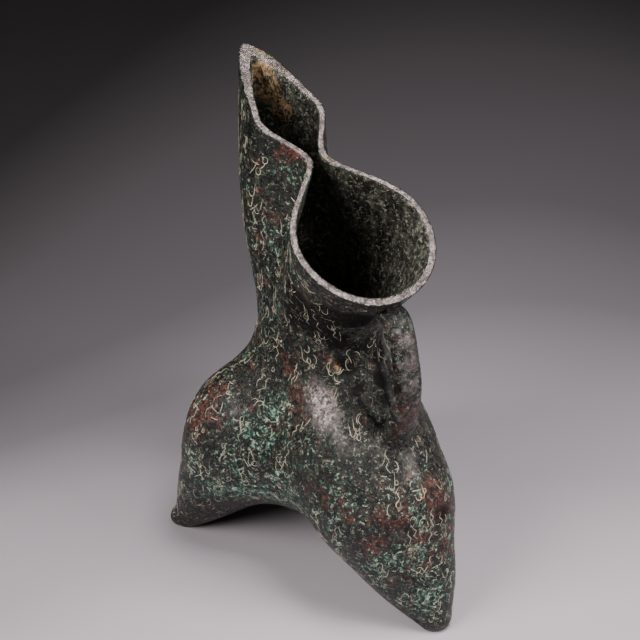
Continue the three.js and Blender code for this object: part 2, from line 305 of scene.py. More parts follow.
def body_turn(column):
    """Direction of a column on the body: the columns gather where the legs are."""
    spread = math.radians(FRONT_LEG_TURN - 120) / math.sin(math.radians(120))
    return column - 0.19 * np.sin(3 * column) + spread * np.sin(column)


def footward_fall(share):
    """How far the aim has sunk: the rings lie closer together about the feet."""
    at_feet = 0.555
    wave = math.sin(2 * math.pi * (share - at_feet)) + math.sin(2 * math.pi * at_feet)
    return share - 0.07 * wave


def body_ring(columns, share, inset):
    """A ring of the body: 0 at the waist, 1 at the middle of the underside."""
    step = min(share / SINK_SHARE, 1)
    sink = step * (2 - step)
    origin = np.array([-WAIST_SET_FORWARD * (1 - sink), 0, mix(WAIST_HEIGHT, BODY_MIDDLE, sink)])
    neck_x = -WAIST_SET_FORWARD + WAIST_HALF_LENGTH * np.cos(columns)
    neck_reach = np.hypot(neck_x - origin[0], WAIST_HALF_WIDTH * np.sin(columns))
    neck_aim = np.arctan2(WAIST_HEIGHT - NECK_AIM_DROP * step - origin[2], neck_reach)
    fall = footward_fall(max(share - FALL_START, 0) / (1 - FALL_START))
    body_aim = math.radians(-90 * (0.9 * fall + 0.1 * fall ** 3) + 20 * sink * (1 - fall))
    elevation = mix(neck_aim, body_aim, smoothstep(step, 0, 1))
    turn = mix(oval_turn(columns), body_turn(columns), smoothstep(share, 0, TURN_SHARE))
    flat = np.cos(elevation)
    direction = np.stack([np.cos(turn) * flat, np.sin(turn) * flat, np.sin(elevation)], 1)
    return surface_along(np.tile(origin, (len(columns), 1)), direction, inset)


def waist_ring(columns, height, inset):
    """A level ring of the lower neck."""
    turn = oval_turn(columns)
    direction = np.stack([np.cos(turn), np.sin(turn), np.zeros(len(columns))], 1)
    origin = np.tile(np.array([-WAIST_SET_FORWARD, 0, height]), (len(columns), 1))
    return surface_along(origin, direction, inset)


def mouth_ring(columns, inset):
    """The mouth's outline on the sloping rim, or the same set in."""
    half = np.where(columns <= math.pi, columns, 2 * math.pi - columns)
    sign = np.where(columns <= math.pi, 1, -1)
    points = np.array([mouth_point(turn / math.pi, inset) for turn in half])
    return np.stack([points[:, 0], points[:, 1] * sign, rim_height(points[:, 0])], 1)


def neck_rings(columns, shares, inset):
    """Rings of the neck: 0 at the waist, 1 at the rim."""
    waist = waist_ring(columns, WAIST_HEIGHT, inset)
    lower = waist_ring(columns, WAIST_HEIGHT - WAIST_SLOPE_STEP, inset)
    rim = mouth_ring(columns, inset)
    frontness = (1 - np.cos(columns)) / 2
    rings = []
    for share in shares:
        rear_flare = share * share * (1.5 - 0.5 * share)
        front_flare = smoothstep(share ** 0.75, 0, 1)
        flare = mix(rear_flare, front_flare, frontness)
        swell = SPOUT_SWELL * frontness * math.sin(math.pi * share) ** 2
        carry = (rim[:, 2] - WAIST_HEIGHT) / WAIST_SLOPE_STEP * share * (1 - share) ** 2
        x = mix(waist[:, 0], rim[:, 0], flare) + swell * np.cos(columns)
        y = mix(waist[:, 1], rim[:, 1], flare) + swell * np.sin(columns)
        x = x + carry * (waist[:, 0] - lower[:, 0])
        y = y + carry * (waist[:, 1] - lower[:, 1])
        rings.append(np.stack([x, y, mix(WAIST_HEIGHT, rim[:, 2], share)], 1))
    return rings


def lip_rings(columns):
    """Rings over the lip from the outer to the inner edge, both edges a little rounded."""
    rings = []
    for row in range(1, LIP_ROWS):
        inset = WALL * row / LIP_ROWS
        edge = min(inset, WALL - inset)
        fall = max(LIP_ROUNDING - edge, 0)
        ring = mouth_ring(columns, inset)
        ring[:, 2] -= LIP_ROUNDING - math.sqrt(LIP_ROUNDING ** 2 - fall ** 2)
        rings.append(ring)
    return rings


def shell_rings():
    """All rings from the outer underside up, over the lip and down the inside.

    Each has an inner share: 0 on the outside, 0.5 on the lip and 1 on the inside.
    """
    columns = 2 * math.pi * np.arange(SHELL_COLUMNS) / SHELL_COLUMNS
    rings = []
    inner = []
    for row in range(1, OUTER_BODY_ROWS + 1):
        rings.append(body_ring(columns, 1 - row / OUTER_BODY_ROWS, 0))
        inner.append(0)
    edge_shares = [row / OUTER_NECK_ROWS for row in range(1, OUTER_NECK_ROWS)]
    for ring in neck_rings(columns, edge_shares + [RIM_EDGE_SHARE], 0):
        rings.append(ring)
        inner.append(0)
    for ring in lip_rings(columns):
        rings.append(ring)
        inner.append(0.5)
    shares = [row / INNER_NECK_ROWS for row in range(INNER_NECK_ROWS - 1, 0, -1)]
    for ring in neck_rings(columns, [RIM_EDGE_SHARE] + shares, WALL):
        rings.append(ring)
        inner.append(1)
    for row in range(INNER_BODY_ROWS):
        rings.append(body_ring(columns, row / INNER_BODY_ROWS, WALL))
        inner.append(1)
    return rings, inner


def ring_faces(ring_count, around, first=0):
    """Four-sided faces between neighbouring rings, whose vertices start at an index."""
    faces = []
    for row in range(ring_count - 1):
        low = first + row * around
        high = low + around
        for c in range(around):
            after = (c + 1) % around
            faces.append((low + c, low + after, high + after, high + c))
    return faces


def shell_mesh():
    """Vertices, faces and the inner share of each vertex of the vessel without its handle."""
    rings, inner = shell_rings()
    vertices = np.concatenate(rings)
    shares = np.repeat(np.array(inner, float), SHELL_COLUMNS)
    faces = ring_faces(len(rings), SHELL_COLUMNS)
    under = len(vertices)
    bottom = np.array([[0, 0, rings[0][:, 2].mean()], [0, 0, rings[-1][:, 2].mean()]])
    vertices = np.concatenate([vertices, bottom])
    shares = np.concatenate([shares, [0, 1]])
    last = under - SHELL_COLUMNS
    for c in range(SHELL_COLUMNS):
        after = (c + 1) % SHELL_COLUMNS
        faces.append((under, after, c))
        faces.append((under + 1, last + c, last + after))
    return vertices, faces, shares


def spline(points, steps):
    """A smooth path through the given points, with so many steps from each to the next."""
    ends = [2 * points[0] - points[1]] + points + [2 * points[-1] - points[-2]]
    path = []
    for k in range(len(points) - 1):
        a, b, c, d = ends[k:k + 4]
        for t in np.linspace(0, 1, steps, endpoint=False):
            path.append(0.5 * (2 * b + (c - a) * t + (2 * a - 5 * b + 4 * c - d) * t * t
                               + (3 * b - a - 3 * c + d) * t ** 3))
    path.append(points[-1])
    return path


def curve_through(points, count):
    """Evenly spaced points and directions of a smooth curve through the given points."""
    path = np.array(spline(points, SPLINE_STEPS))
    lengths = np.concatenate([[0], np.cumsum(np.linalg.norm(np.diff(path, axis=0), axis=1))])
    even = np.linspace(0, lengths[-1], count)
    centres = np.stack([np.interp(even, lengths, path[:, k]) for k in range(3)], 1)
    tangents = np.gradient(centres, axis=0)
    return centres, tangents / np.linalg.norm(tangents, axis=1)[:, None]


def handle_curve():
    """The middle of the handle, from inside the neck's wall down into the rear leg."""
    top = MOUTH_REAR_HEIGHT - HANDLE_DROP
    share = (top - WAIST_HEIGHT) / (MOUTH_REAR_HEIGHT - WAIST_HEIGHT)
    flare = share * share * (1.5 - 0.5 * share)
    wall = mix(WAIST_HALF_LENGTH - WAIST_SET_FORWARD, MOUTH_REAR_REACH, flare)
    reach = HANDLE_FOOT_REACH
    foot = HANDLE_FOOT_HEIGHT
    points = [(wall - WALL - 3, 0, top - 2), (wall + 8, 0, top - 2),
              (reach + HANDLE_BOW, 0, mix(foot, top, 0.6)),
              (reach + 0.75 * HANDLE_BOW, 0, mix(foot, top, 0.25)), (reach, 0, foot - 8)]
    return curve_through([np.array(p, float) for p in points], HANDLE_PATH_POINTS)


def bezier(a, b, c, d, t):
    """A point of a cubic curve from a to d, drawn by b and c."""
    return a * (1 - t) ** 3 + 3 * b * t * (1 - t) ** 2 + 3 * c * t * t * (1 - t) + d * t ** 3


def handle_section(centre, tangent, scale):
    """One oval ring of the handle, square to its path."""
    outward = np.array([-tangent[2], 0, tangent[0]])
    turns = 2 * math.pi * np.arange(HANDLE_AROUND) / HANDLE_AROUND
    wide = np.sign(np.cos(turns)) * np.abs(np.cos(turns)) ** 0.9 * HANDLE_WIDTH / 2 * scale
    thick = np.sign(np.sin(turns)) * np.abs(np.sin(turns)) ** 0.9 * HANDLE_THICKNESS / 2 * scale
    return centre + np.outer(wide, [0, 1, 0]) + np.outer(thick, outward), outward


def skin_tree_of(points, faces):
    return BVHTree.FromPolygons([tuple(p) for p in points], faces)


def nearest(tree, point):
    """The nearest place on a skin and its outward direction."""
    place, normal, _, _ = tree.find_nearest(Vector(point))
    return np.array(place), np.array(normal)


def root_rings(wall_tree, centre, tangent, away, ring, spread, upward_spread, rows):
    """Rings that flare from a ring of the handle down onto the wall, smooth at both ends.

    The path leads away from the wall along its tangent when away is 1, against it when -1.
    """
    start, outward = handle_section(centre, tangent, 1.0)
    feet = []
    sunk = []
    aims = []
    for point in start:
        offset = point - centre
        upness = max(np.dot(offset, outward) / (HANDLE_THICKNESS / 2), 0)
        target = centre + offset * mix(spread, upward_spread, upness)
        place, normal = nearest(wall_tree, target)
        aim = np.dot(offset, normal) * normal - offset
        width = np.linalg.norm(aim)
        aim = aim / max(width, 1e-6) * 0.8 * width * max(mix(spread, upward_spread, upness) - 1, 0)
        feet.append(place - normal * ROOT_SEAT)
        sunk.append(place - normal * ROOT_SINK - aim * 0.1)
        aims.append(aim)
    feet = np.array(feet)
    aims = np.array(aims)
    gap = np.linalg.norm(ring - feet, axis=1)[:, None]
    rings = [np.array(sunk)]
    for row in range(rows):
        t = row / rows
        rings.append(bezier(feet, feet + aims, ring - tangent * away * gap * 0.45, ring, t))
    return rings


def handle_mesh(wall_tree, first_index):
    """Vertices and faces of the handle, whose ends flare out over the wall."""
    centres, tangents = handle_curve()
    outside = []
    for centre in centres:
        place, normal = nearest(wall_tree, centre)
        outside.append(np.dot(centre - place, normal) > 0)
    middle = len(centres) // 2
    top = max(k for k in range(middle) if not outside[k])
    foot = min(k for k in range(middle, len(centres)) if not outside[k])
    step = np.linalg.norm(centres[1] - centres[0])
    begin = top + int(UPPER_ROOT_LENGTH / step)
    end = foot - int(LOWER_ROOT_LENGTH / step)
    body_rings = []
    for at in np.linspace(begin, end, HANDLE_ALONG):
        k = int(at)
        centre = mix(centres[k], centres[min(k + 1, len(centres) - 1)], at - k)
        share = (at - begin) / (end - begin)
        flare = HANDLE_UPPER_FLARE * (1 - share) ** 4 + HANDLE_LOWER_FLARE * share ** 4
        body_rings.append(handle_section(centre, tangents[k], HANDLE_SLIMNESS + flare)[0])
    upper = root_rings(wall_tree, centres[top], tangents[top], 1, body_rings[0],
                       UPPER_ROOT_SPREAD, UPPER_ROOT_TOP_SPREAD, UPPER_ROOT_ROWS)
    lower = root_rings(wall_tree, centres[foot], tangents[foot], -1, body_rings[-1],
                       LOWER_ROOT_SPREAD, LOWER_ROOT_SPREAD, LOWER_ROOT_ROWS)
    rings = upper + body_rings + lower[::-1]
    vertices = np.concatenate(rings)
    around = ring_faces(len(rings), HANDLE_AROUND, first_index)
    return vertices, [(a, d, c, b) for a, b, c, d in around]


# Places on the surface, in millimetres of the shared frame: x, y, z, radius, strength
VERDIGRIS_SPOTS = (
    (-10, -61, 69, 16, 1.0), (-3, -49, 89, 13, 0.8), (13, -44, 71, 15, 0.9),
    (-21, -68, 49, 14, 0.9), (20, -39, 60, 13, 0.8), (-5, -41, 105, 12, 0.7),
    (-39, -25, 150, 13, 0.5), (80, -15, 52, 16, 0.8), (86, -6, 31, 15, 0.7),
    (72, -22, 49, 15, 0.8), (86, -1, 70, 11, 0.7), (-36, -22, 188, 9, 0.4),
    (46, -28, 62, 16, 0.5), (-24, -55, 98, 10, 0.4), (-35, -66, 60, 12, 0.8),
    (-12, -58, 52, 12, 0.9), (0, -50, 56, 12, 0.9), (52, -30, 78, 10, 0.8),
    (60, -26, 74, 12, 0.9), (46, -30, 88, 9, 0.7),
)
CUPRITE_SPOTS = (
    (-39, -65, 92, 15, 0.9), (-46, -52, 99, 12, 0.8), (-4, -29, 127, 12, 0.6),
    (-40, -23, 183, 10, 0.6), (-38, -20, 201, 10, 0.6), (-34, -12, 238, 9, 0.8),
    (43, -31, 87, 11, 0.6), (56, -31, 79, 10, 0.6), (74, -24, 65, 12, 0.7),
    (79, -12, 77, 13, 0.9), (85, 6, 73, 14, 0.9), (89, -1, 56, 11, 0.8),
    (76, 12, 77, 12, 1.0), (84, 11, 55, 12, 0.9), (10, -32, 111, 10, 0.6),
    (22, -33, 99, 10, 0.6), (62, 0, 132, 11, 0.7),
)
# Polished places, where a pale pinkish painted highlight stands in for the soft boxes' reflection
POLISH_AND_HIGHLIGHT_SPOTS = (
    (12, -24, 124, 8, 0.9), (17, -24, 120, 9, 1.0), (22, -24, 115, 9, 1.0), (27, -23, 111, 10, 1.0),
    (33, -22, 108, 9, 0.9), (39, -20, 105, 9, 0.9), (46, -18, 102, 8, 0.8), (48, -12, 105, 7, 0.45),
    (-22, -54, 99, 7, 0.5), (-30, -52, 103, 7, 0.35), (69, 0, 95, 8, 0.5), (62, 2, 99, 9, 0.45),
    (24, -1, 133, 8, 0.2), (31, -1, 119, 8, 0.2), (60, 1, 172, 6, 1.0), (63, 1, 162, 6, 0.9),
    (65, 1, 152, 6, 0.6), (62, -22, 80, 9, 0.55), (52, -28, 78, 8, 0.45), (76, -12, 66, 8, 0.4),
)
# Places of painted shade under the rim, on and behind the handle, at the near edge and at the rear foot;
# the bronze there is also rougher, duller and less bumpy
SMOOTH_AND_SHADE_SPOTS = (
    (12, -24, 165, 15, 1.0), (25, -26, 172, 14, 1.0), (0, -27, 163, 12, 0.7), (36, -17, 172, 12, 1.0),
    (22, -18, 152, 10, 0.9), (4, -30, 178, 12, 0.8), (40, 0, 166, 11, 0.8), (30, 2, 150, 11, 0.8),
    (55, -9, 170, 5, 0.9), (58, -9, 160, 5, 0.8), (60, -9, 148, 5, 0.8), (42, -2, 176, 6, 0.9),
    (23, 5, 148, 10, 0.7), (21, 11, 138, 9, 0.7), (28, 7, 127, 9, 0.6), (35, 3, 121, 8, 0.5),
    (23, -4, 137, 7, 0.3), (80, 12, 70, 10, 0.5), (86, 11, 52, 9, 0.4),
    (46, 4, 112, 7, 0.8), (42, -8, 108, 6, 0.8), (38, 8, 125, 9, 0.5), (80, 0, 6, 12, 0.6),
)
RUST_SPOTS = (
    (-81, 3, 256, 8, 1.0), (-78, 5, 248, 9, 1.0), (-73, 9, 238, 8, 0.9),
    (-70, 8, 228, 7, 0.5), (18, -14, 137, 3.2, 0.6), (15, -17, 140, 3, 0.5),
)

# Line of the crease beside the handle's lower root, and the small knob inside the spout
CREASE = (
    (15, -14.5, 147), (18.1, -12.7, 142), (20, -11.5, 136), (22.5, -9.9, 129.7),
    (28.9, -7.8, 121.1), (35.2, -6.2, 114.5), (39.7, -5.5, 111.7),
)
CREASE_DEPTH = 1.3
CREASE_HALF_WIDTH = 2.1
KNOB = (-50.1, 16.3, 242.9)
KNOB_HEIGHT = 1.9
KNOB_RADIUS = 2.5
# Widths of the painted shade along the crease and round the knob's foot
GROOVE_SHADE_HALF_WIDTH = 3.2
KNOB_SHADE_RADIUS = 2.6
TIP_LIGHTER_RADIUS = 4.5

# Height of the cast skin's unevenness, and its periods from coarse to fine
UNEVENNESS = 0.45
FINE_RELIEF = 0.13
COARSE_PERIODS = (26, 11)
FINE_PERIODS = (3.4, 1.7)


def soft_spots(points, spots, mirrored=0.75):
    """The strongest of several soft balls at each point, weaker on the mirrored side."""
    value = np.zeros(len(points))
    for x, y, z, radius, strength in spots:
        for side, share in ((1, 1.0), (-1, mirrored)):
            centre = np.array([x, y * side, z])
            gap = np.linalg.norm(points - centre, axis=1) / radius
            value = np.maximum(value, strength * share * np.exp(-gap * gap))
    return value


def noise_at(points, period, shift):
    """Smooth noise between about -1 and 1 at every point, with a period in millimetres."""
    offset = Vector((shift, 2.3 * shift, -1.7 * shift))
    return np.array([noise.noise(Vector(p) / period + offset) for p in points])


def crease_gap(points, tree):
    """Distance from each point to the crease beside the handle's root, on both sides."""
    gap = np.full(len(points), 1e3)
    for side in (1, -1):
        line = [nearest(tree, (x, y * side, z))[0] for x, y, z in CREASE]
        for a, b in zip(line[:-1], line[1:]):
            along = np.clip((points - a) @ (b - a) / ((b - a) @ (b - a)), 0, 1)
            gap = np.minimum(gap, np.linalg.norm(points - a - along[:, None] * (b - a), axis=1))
    return gap


def relieved(points, normals, inner, creased):
    """The skin with the uneven, slightly pitted surface of an old casting."""
    push = UNEVENNESS * noise_at(points, COARSE_PERIODS[0], 3.1)
    push += 0.5 * UNEVENNESS * noise_at(points, COARSE_PERIODS[1], 8.7)
    push += FINE_RELIEF * noise_at(points, FINE_PERIODS[0], 5.2)
    push += 0.6 * FINE_RELIEF * noise_at(points, FINE_PERIODS[1], 1.9)
    outer = inner < 0.25
    groove = np.exp(-(creased / CREASE_HALF_WIDTH) ** 2)
    push -= np.where(outer, CREASE_DEPTH * groove, 0)
    knob = np.linalg.norm(points - np.array(KNOB), axis=1) / KNOB_RADIUS
    push += np.where(inner > 0.75, KNOB_HEIGHT * np.exp(-knob * knob), 0)
    tip = smoothstep(points[:, 0] - SHIFT_X + TIP_REACH, 0, 9)
    sole = smoothstep(points[:, 2], 0.2, 7)
    return points + normals * (push * tip * sole)[:, None]


def make_mesh(name, vertices, faces):
    mesh = bpy.data.meshes.new(name)
    mesh.from_pydata([tuple(v) for v in vertices], [], faces)
    mesh.update()
    return mesh


def add_object(name, data):
    """An object in the scene that holds a mesh, a light or a camera."""
    thing = bpy.data.objects.new(name, data)
    bpy.context.collection.objects.link(thing)
    return thing


def normals_of(mesh):
    """The vertex normals of a mesh as rows."""
    values = np.zeros(len(mesh.vertices) * 3, np.float32)
    mesh.vertex_normals.foreach_get("vector", values)
    return values.reshape(-1, 3).astype(float)


def into_frame(points):
    """Millimetres to metres, kept inside the construction's box."""
    low = np.array(cad_box[0]) + 2e-5
    high = np.array(cad_box[1]) - 2e-5
    return np.clip(points * MM, low, high)


def add_values(mesh, name, values):
    """One number for each vertex, which the material reads by its name."""
    attribute = mesh.attributes.new(name, "FLOAT", "POINT")
    attribute.data.foreach_set("value", np.asarray(values, np.float32))


def build_casting():
    """The whole casting as one mesh, and its skin in millimetres for the marks."""
    shell_points, shell_faces, inner = shell_mesh()
    outer_faces = [f for f in shell_faces if max(f) < OUTER_COUNT]
    wall_tree = skin_tree_of(shell_points[:OUTER_COUNT], outer_faces)
    handle_points, handle_faces = handle_mesh(wall_tree, len(shell_points))
    points = np.concatenate([shell_points, handle_points]) + [SHIFT_X, 0, 0]
    inner = np.concatenate([inner, np.zeros(len(handle_points))])
    faces = shell_faces + handle_faces
    plain = make_mesh("plain_skin", points, faces)
    creased = crease_gap(points, skin_tree_of(points[:OUTER_COUNT], outer_faces))
    points = relieved(points, normals_of(plain), inner, creased)
    bpy.data.meshes.remove(plain)
    mesh = make_mesh("vessel_casting", into_frame(points), faces)
    mesh.shade_smooth()
    lip = 1 - np.clip(np.abs(inner - 0.5) * 2, 0, 1)
    for row in (OUTER_ROWS, OUTER_ROWS + LIP_ROWS - 2):
        lip[row * SHELL_COLUMNS:(row + 1) * SHELL_COLUMNS] = 0.6
    # The lip is lighter towards the spout's tip
    tip_gap = np.linalg.norm(points - [SHIFT_X - TIP_REACH, 0, VESSEL_HEIGHT], axis=1)
    lip = np.maximum(lip, 1.1 * np.exp(-(tip_gap / TIP_LIGHTER_RADIUS) ** 2))
    add_values(mesh, "lip", lip)
    add_values(mesh, "inside", smoothstep(inner, 0.5, 1))
    # Among these, the polished places carry a painted highlight and the smooth places carry painted
    # shade
    for name, spots in (("verdigris", VERDIGRIS_SPOTS), ("cuprite", CUPRITE_SPOTS),
                        ("polish_and_highlight", POLISH_AND_HIGHLIGHT_SPOTS), ("smooth_and_shade", SMOOTH_AND_SHADE_SPOTS)):
        add_values(mesh, name, soft_spots(points, spots) * (inner < 0.6))
    add_values(mesh, "rust", soft_spots(points, RUST_SPOTS, 0))
    handle = np.zeros(len(points))
    handle[len(shell_points):] = 1
    add_values(mesh, "handle", handle)
    # Painted shade along the crease and in a ring round the knob's foot
    groove_shade = np.exp(-(creased / GROOVE_SHADE_HALF_WIDTH) ** 2) * (inner < 0.25)
    knob_gap = np.linalg.norm(points - np.array(KNOB), axis=1)
    groove_shade = np.maximum(groove_shade, np.exp(-(knob_gap - KNOB_SHADE_RADIUS) ** 2) * (inner > 0.75))
    add_values(mesh, "painted_groove_shade", groove_shade)
    return add_object("vessel_casting", mesh), points, skin_tree_of(points, faces)


# Strokes of the incised marks, each a line of points in a square from -0.5 to 0.5
def arc(x, y, radius, start, end, steps=7):
    """A piece of a circle between two directions in degrees."""
    turns = [math.radians(mix(start, end, k / steps)) for k in range(steps + 1)]
    return [(x + radius * math.cos(t), y + radius * math.sin(t)) for t in turns]


def bow_stroke(x, y):
    start = random.choice((0, 90, 180, 270)) + random.uniform(-30, 30)
    return arc(x, y, random.uniform(0.12, 0.26), start, start + random.uniform(90, 210))


def straight_stroke(x, y):
    lean = random.choice((0, 0, 90, 90, 45, 130)) + random.uniform(-14, 14)
    half = random.uniform(0.12, 0.34)
    dx = half * math.cos(math.radians(lean))
    dy = half * math.sin(math.radians(lean))
    return [(x - dx, y - dy), (x + 0.03, y - 0.02), (x + dx, y + dy)]


def wavy_stroke(x, y):
    tall = random.uniform(0.3, 0.5)
    return [(x + 0.09 * (-1) ** k, y + mix(tall, -tall, k / 4)) for k in range(5)]


def ring_stroke(x, y):
    return arc(x, y, random.uniform(0.07, 0.13), 90, 450, 10)


def hooked_stroke(x, y):
    side = random.choice((1, -1))
    line = arc(x, y - 0.1, random.uniform(0.12, 0.2), 90 - 90 * side, 90 - 90 * side - 200 * side)
    return [(x + 0.2 * side, y + 0.35), (x + 0.17 * side, y + 0.1)] + line


STROKES = (bow_stroke, bow_stroke, bow_stroke, straight_stroke, straight_stroke, straight_stroke,
           wavy_stroke, ring_stroke, hooked_stroke)


def mark_strokes():
    """A cluster of curved and straight strokes, different every time."""
    places = [(u, v) for u in (-0.26, 0.0, 0.26) for v in (-0.36, -0.12, 0.12, 0.36)]
    strokes = []
    for u, v in random.sample(places, random.randint(4, 6)):
        middle = (u + random.uniform(-0.06, 0.06), v + random.uniform(-0.06, 0.06))
        strokes.append(random.choice(STROKES)(*middle))
    return strokes


# Marks in the places that draw the eye: x, y, z and size
FIRST_MARKS = (
    (-33, -71, 82, 13), (11, -21, 153, 10), (-43, -24, 188, 17), (-47, -20, 229, 15),
    (41, -24, 100, 11), (2, -38, 108, 10), (30, -33, 92, 11), (52, -30, 83, 12),
    (64, -28, 66, 12), (84, -10, 60, 12), (87, 4, 68, 13), (88, -4, 42, 12),
)
MARK_SPACING = 14.0
MARK_LIMIT = 230
MARK_TRIES = 9000
MARK_RIM_GAP = 14
MARK_FLOOR_GAP = 10
NECK_MARKS_LEFT_OUT = 0.6
MARK_LEAST_SIZE = 11
MARK_MOST_SIZE = 16
STROKE_STEPS = 10
STROKE_HALF_WIDTH = 0.24
STROKE_PROUD = 0.09
STROKE_SINK = 0.03
SCRATCH_COUNT = 1500
SCRATCH_STEP = 0.75
SCRATCH_FLOOR_GAP = 8
SCRATCH_HALF_WIDTH = 0.15

# Rings left free of marks and of scratches, on the underside and below the rim
MARK_FIRST_ROW = 20
SCRATCH_FIRST_ROW = 24
SCRATCH_RIM_ROWS = 9


def smooth_line(line, steps):
    """A rounded line through the given points, in about so many steps."""
    points = [np.array(p, float) for p in line]
    if len(points) < 3:
        return [mix(points[0], points[-1], k / steps) for k in range(steps + 1)]
    return spline(points, max(steps // (len(points) - 1), 2))


def mark_places(points, skin_tree):
    """Middles of the marks: the ones seen first, then spread over the outside."""
    places = []
    for x, y, z, size in FIRST_MARKS:
        places.append((*nearest(skin_tree, (x, y, z)), size))
        if size < 15:
            places.append((*nearest(skin_tree, (x - 3, -y, z + 2)), size))
    order = list(range(SHELL_COLUMNS * MARK_FIRST_ROW, OUTER_COUNT))
    random.shuffle(order)
    for index in order[:MARK_TRIES]:
        if len(places) >= MARK_LIMIT:
            break
        point = points[index]
        near = min(np.linalg.norm(point - place[0]) for place in places)
        if near < MARK_SPACING:
            continue
        rim_gap = rim_height(point[0] - SHIFT_X) - point[2]
        if rim_gap < MARK_RIM_GAP or point[2] < MARK_FLOOR_GAP:
            continue
        if point[2] > WAIST_HEIGHT and random.random() < NECK_MARKS_LEFT_OUT:
            continue
        under_handle = point[0] > 22 and abs(point[1]) < HANDLE_WIDTH + 1 and point[2] > 100
        if under_handle:
            continue
        normal = nearest(skin_tree, point)[1]
        if normal[2] < -0.45:
            continue
        places.append((point, normal, random.uniform(MARK_LEAST_SIZE, MARK_MOST_SIZE)))
    return places


def scratch_lines(points, skin_tree, vertices, faces, shades):
    """Short hair-thin curls between the marks, with a shade above 1."""
    first = SHELL_COLUMNS * SCRATCH_FIRST_ROW
    last = OUTER_COUNT - SHELL_COLUMNS * SCRATCH_RIM_ROWS
    for _ in range(SCRATCH_COUNT):
        middle = points[random.randrange(first, last)]
        if middle[2] < SCRATCH_FLOOR_GAP:
            continue
        spot, normal = nearest(skin_tree, middle)
        if normal[2] < -0.5:
            continue
        across = np.cross(normal, [0.3, 0.2, 1.0])
        across = across / np.linalg.norm(across)
        upward = np.cross(normal, across)
        heading = random.uniform(0, 2 * math.pi)
        bend = random.uniform(-0.5, 0.5)
        curve = [spot]
        for _ in range(random.randint(4, 7)):
            ahead = across * math.cos(heading) + upward * math.sin(heading)
            spot = spot + ahead * SCRATCH_STEP
            heading += bend
            curve.append(spot)
        shade = random.uniform(1.5, 2.5)
        stroke_ribbon(curve, skin_tree, vertices, faces, shades, shade, SCRATCH_HALF_WIDTH)


def stroke_ribbon(line, skin_tree, vertices, faces, shades, shade, half_width):
    """A thin, low ribbon along a line of points on the skin, with tapering ends."""
    centres = []
    normals = []
    for point in line:
        place, normal = nearest(skin_tree, point)
        centres.append(place)
        normals.append(normal)
    count = len(centres)
    for k in range(count):
        before = centres[max(k - 1, 0)]
        after = centres[min(k + 1, count - 1)]
        ahead = after - before
        side = np.cross(normals[k], ahead)
        length = np.linalg.norm(side)
        if length < 1e-6:
            return
        side = side / length
        share = k / (count - 1)
        taper = min(1, 0.35 + 3.2 * min(share, 1 - share))
        half = half_width * taper * (1 + 0.18 * noise.noise(Vector(centres[k]) / 2.1))
        vertices.append(centres[k] - side * half - normals[k] * STROKE_SINK)
        vertices.append(centres[k] + normals[k] * STROKE_PROUD * taper)
        vertices.append(centres[k] + side * half - normals[k] * STROKE_SINK)
        shades.extend([shade] * 3)
    first = len(vertices) - 3 * count
    for k in range(count - 1):
        a = first + 3 * k
        faces.append((a, a + 1, a + 4, a + 3))
        faces.append((a + 1, a + 2, a + 5, a + 4))


def build_marks(points, skin_tree):
    """All incised marks as one thin inlay of strokes."""
    vertices = []
    faces = []
    shades = []
    for middle, normal, size in mark_places(points, skin_tree):
        upward = np.array([0, 0, 1.0]) - normal * normal[2]
        if np.linalg.norm(upward) < 0.3:
            upward = np.array([-middle[0], -middle[1], 0.0])
            upward = upward - normal * np.dot(upward, normal)
        upward = upward / max(np.linalg.norm(upward), 1e-6)
        across = np.cross(upward, normal)
        lean = random.uniform(-0.22, 0.22)
        shade = random.uniform(0, 1)
        width = random.uniform(0.62, 0.85)
        for line in mark_strokes():
            curve = []
            for u, v in smooth_line(line, STROKE_STEPS):
                turned_u = u * width * math.cos(lean) - v * math.sin(lean)
                turned_v = u * width * math.sin(lean) + v * math.cos(lean)
                curve.append(middle + (across * turned_u + upward * turned_v) * size)
            stroke_ribbon(curve, skin_tree, vertices, faces, shades, shade, STROKE_HALF_WIDTH)
    scratch_lines(points, skin_tree, vertices, faces, shades)
    vertices = np.array(vertices)
    mesh = make_mesh("inscription_strokes", into_frame(vertices), faces)
    mesh.shade_smooth()
    add_values(mesh, "shade", shades)
    # Where the strokes lie in the polished places with their painted highlight
    add_values(mesh, "polish_and_highlight", soft_spots(vertices, POLISH_AND_HIGHLIGHT_SPOTS))
    return add_object("inscription_strokes", mesh)


